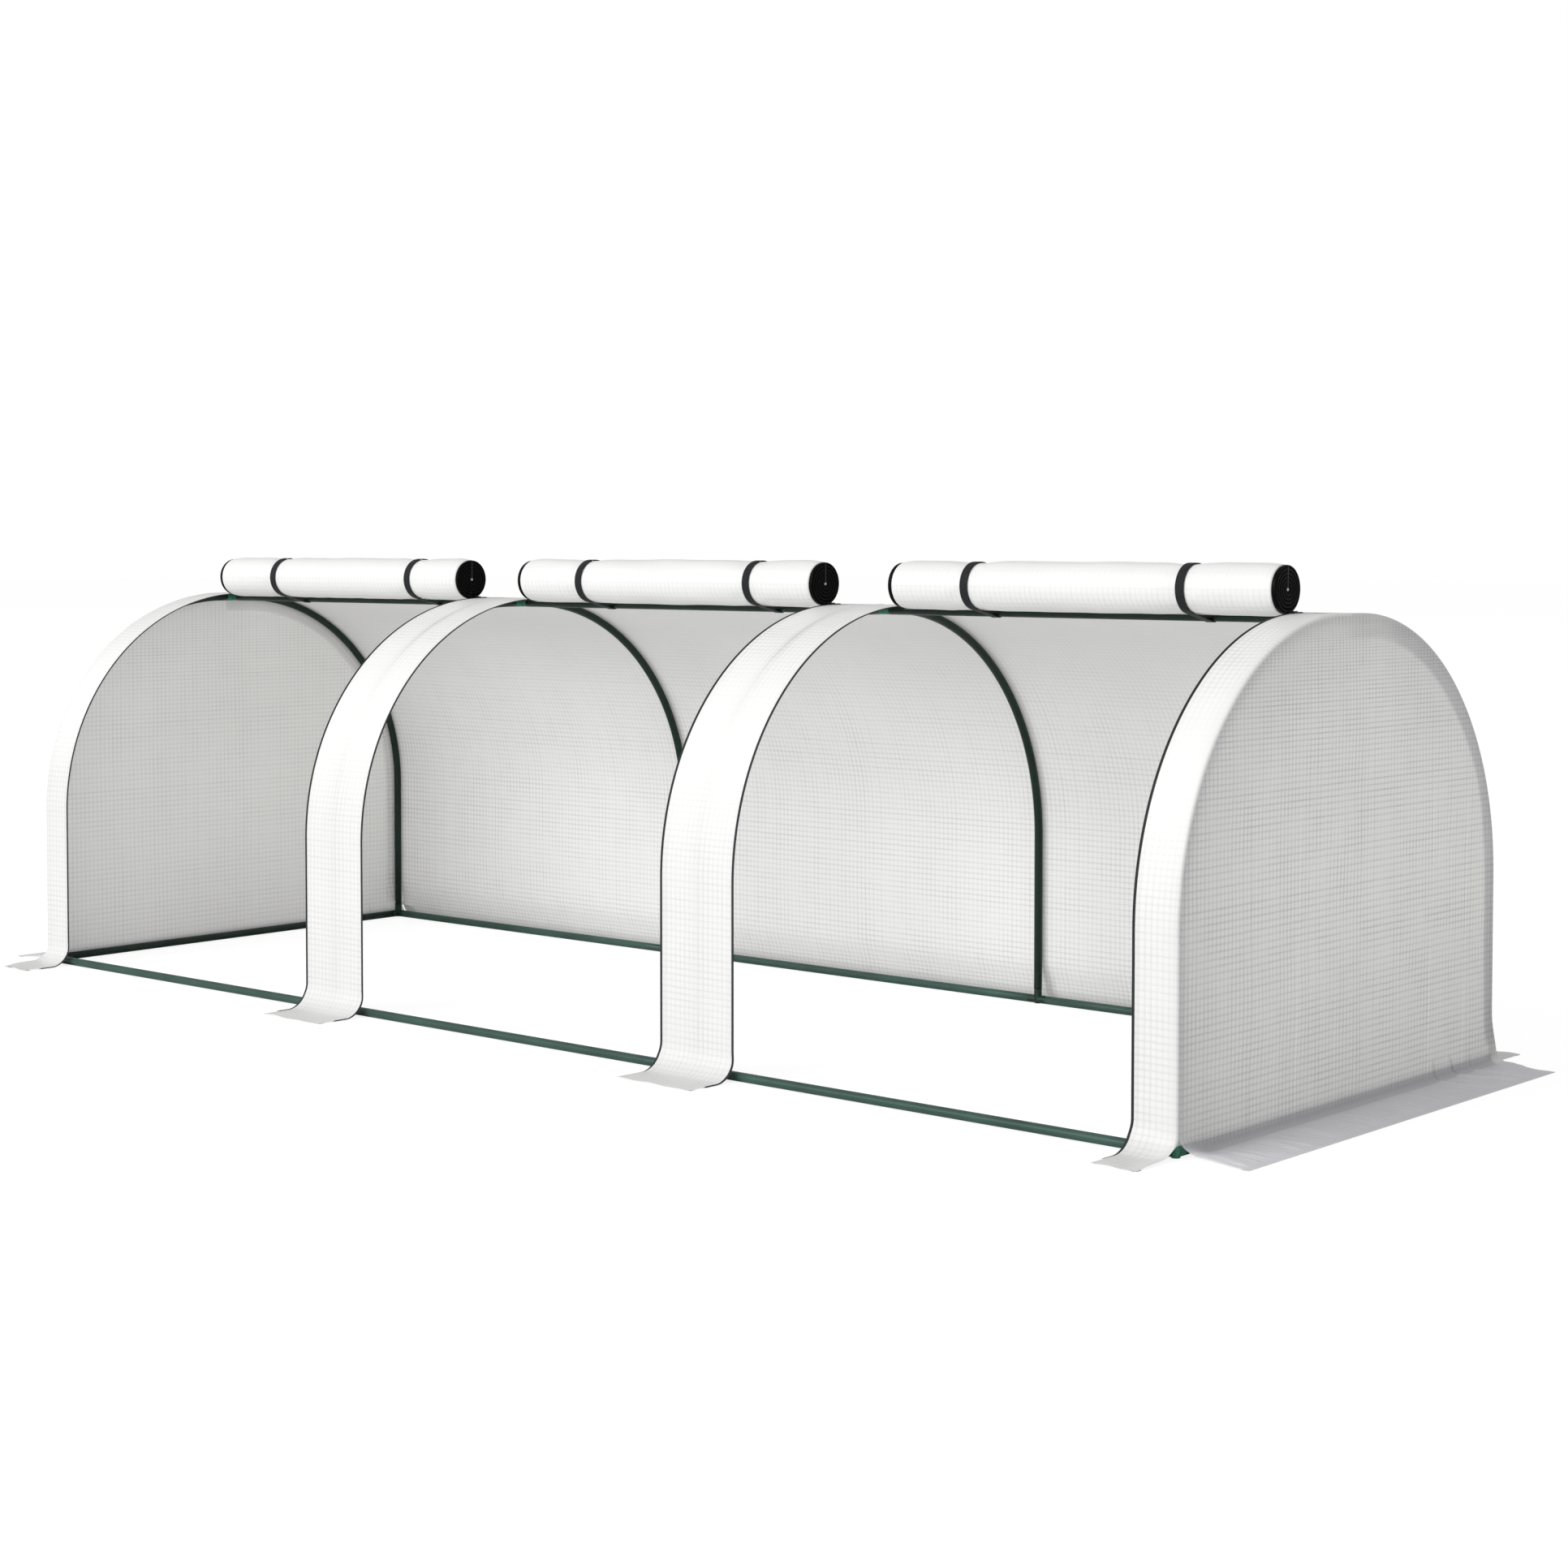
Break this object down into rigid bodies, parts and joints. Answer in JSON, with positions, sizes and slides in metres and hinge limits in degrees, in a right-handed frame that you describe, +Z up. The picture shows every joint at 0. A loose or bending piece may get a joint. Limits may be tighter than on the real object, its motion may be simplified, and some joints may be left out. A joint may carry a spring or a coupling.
{
  "type": "row cover tunnel",
  "caption": "Low garden tunnel: a jointed steel hoop frame under a reinforced sheet cover with skirts and roll-up doors held by tie straps along the ridge.",
  "frame": {"origin": "on the ground, under the middle of the ridge", "axes": "+X along the ridge, -Y towards the doors, +Z up"},
  "size_m": [3.1462, 1.216, 0.8789],
  "materials": {
    "tube_steel": "satin",
    "plug_plastic": "satin",
    "cover_sheet": "satin",
    "webbing": "matte",
    "zip_tape": "matte",
    "zip_metal": "satin"
  },
  "bodies": {
    "root": {"base_rail_front_1": "tube_steel", "base_rail_front_2": "tube_steel", "base_rail_front_3": "tube_steel", "base_rail_rear_1": "tube_steel", "base_rail_rear_2": "tube_steel", "base_rail_rear_3": "tube_steel", "base_rail_left": "tube_steel", "base_rail_right": "tube_steel", "ridge_tube_1": "tube_steel", "ridge_tube_2": "tube_steel", "ridge_tube_3": "tube_steel", "hoop_1_front": "tube_steel", "hoop_1_rear": "tube_steel", "hoop_2_front": "tube_steel", "hoop_2_rear": "tube_steel", "hoop_3_front": "tube_steel", "hoop_3_rear": "tube_steel", "hoop_4_front": "tube_steel", "hoop_4_rear": "tube_steel", "corner_plug_1_front": "plug_plastic", "corner_plug_1_rear": "plug_plastic", "corner_plug_4_front": "plug_plastic", "corner_plug_4_rear": "plug_plastic", "base_tee_2_front": "plug_plastic", "base_tee_2_rear": "plug_plastic", "base_tee_3_front": "plug_plastic", "base_tee_3_rear": "plug_plastic", "ridge_tee_1": "plug_plastic", "ridge_tee_4": "plug_plastic", "ridge_cross_2": "plug_plastic", "ridge_cross_3": "plug_plastic", "roof_rear_panel": "cover_sheet", "end_panel_left": "cover_sheet", "end_panel_right": "cover_sheet", "front_strip_1": "cover_sheet", "front_strip_2": "cover_sheet", "front_strip_3": "cover_sheet", "front_strip_4": "cover_sheet", "door_1_strap_left": "webbing", "door_1_strap_right": "webbing", "door_2_strap_left": "webbing", "door_2_strap_right": "webbing", "door_3_strap_left": "webbing", "door_3_strap_right": "webbing", "door_1_zip_left": "zip_tape", "door_1_zip_right": "zip_tape", "door_2_zip_left": "zip_tape", "door_2_zip_right": "zip_tape", "door_3_zip_left": "zip_tape", "door_3_zip_right": "zip_tape"},
    "door_1": {"door_1_roll": "cover_sheet"},
    "door_2": {"door_2_roll": "cover_sheet"},
    "door_3": {"door_3_roll": "cover_sheet"},
    "door_1_slider_left": {"door_1_slider_left": "zip_metal"},
    "door_1_slider_right": {"door_1_slider_right": "zip_metal"},
    "door_2_slider_left": {"door_2_slider_left": "zip_metal"},
    "door_2_slider_right": {"door_2_slider_right": "zip_metal"},
    "door_3_slider_left": {"door_3_slider_left": "zip_metal"},
    "door_3_slider_right": {"door_3_slider_right": "zip_metal"}
  },
  "joints": [
    {"name": "door_1_travel", "type": "hinge", "parent": "root", "child": "door_1", "pos_m": [-0.96875, -0.035, 0.332], "axis": [1, 0, 0], "range_deg": [0, 85], "deforming": ["door_1_strap_left", "door_1_strap_right"]},
    {"name": "door_2_travel", "type": "hinge", "parent": "root", "child": "door_2", "pos_m": [0, -0.035, 0.332], "axis": [1, 0, 0], "range_deg": [0, 85], "deforming": ["door_2_strap_left", "door_2_strap_right"]},
    {"name": "door_3_travel", "type": "hinge", "parent": "root", "child": "door_3", "pos_m": [0.96875, -0.035, 0.332], "axis": [1, 0, 0], "range_deg": [0, 85], "deforming": ["door_3_strap_left", "door_3_strap_right"]},
    {"name": "door_1_slider_left_travel", "type": "hinge", "parent": "root", "child": "door_1_slider_left", "pos_m": [-1.37025, -0.035, 0.332], "axis": [1, 0, 0], "range_deg": [0, 83]},
    {"name": "door_1_slider_right_travel", "type": "hinge", "parent": "root", "child": "door_1_slider_right", "pos_m": [-0.56725, -0.035, 0.332], "axis": [1, 0, 0], "range_deg": [0, 83]},
    {"name": "door_2_slider_left_travel", "type": "hinge", "parent": "root", "child": "door_2_slider_left", "pos_m": [-0.39525, -0.035, 0.332], "axis": [1, 0, 0], "range_deg": [0, 83]},
    {"name": "door_2_slider_right_travel", "type": "hinge", "parent": "root", "child": "door_2_slider_right", "pos_m": [0.39525, -0.035, 0.332], "axis": [1, 0, 0], "range_deg": [0, 83]},
    {"name": "door_3_slider_left_travel", "type": "hinge", "parent": "root", "child": "door_3_slider_left", "pos_m": [0.56725, -0.035, 0.332], "axis": [1, 0, 0], "range_deg": [0, 83]},
    {"name": "door_3_slider_right_travel", "type": "hinge", "parent": "root", "child": "door_3_slider_right", "pos_m": [1.37025, -0.035, 0.332], "axis": [1, 0, 0], "range_deg": [0, 83]}
  ]
}
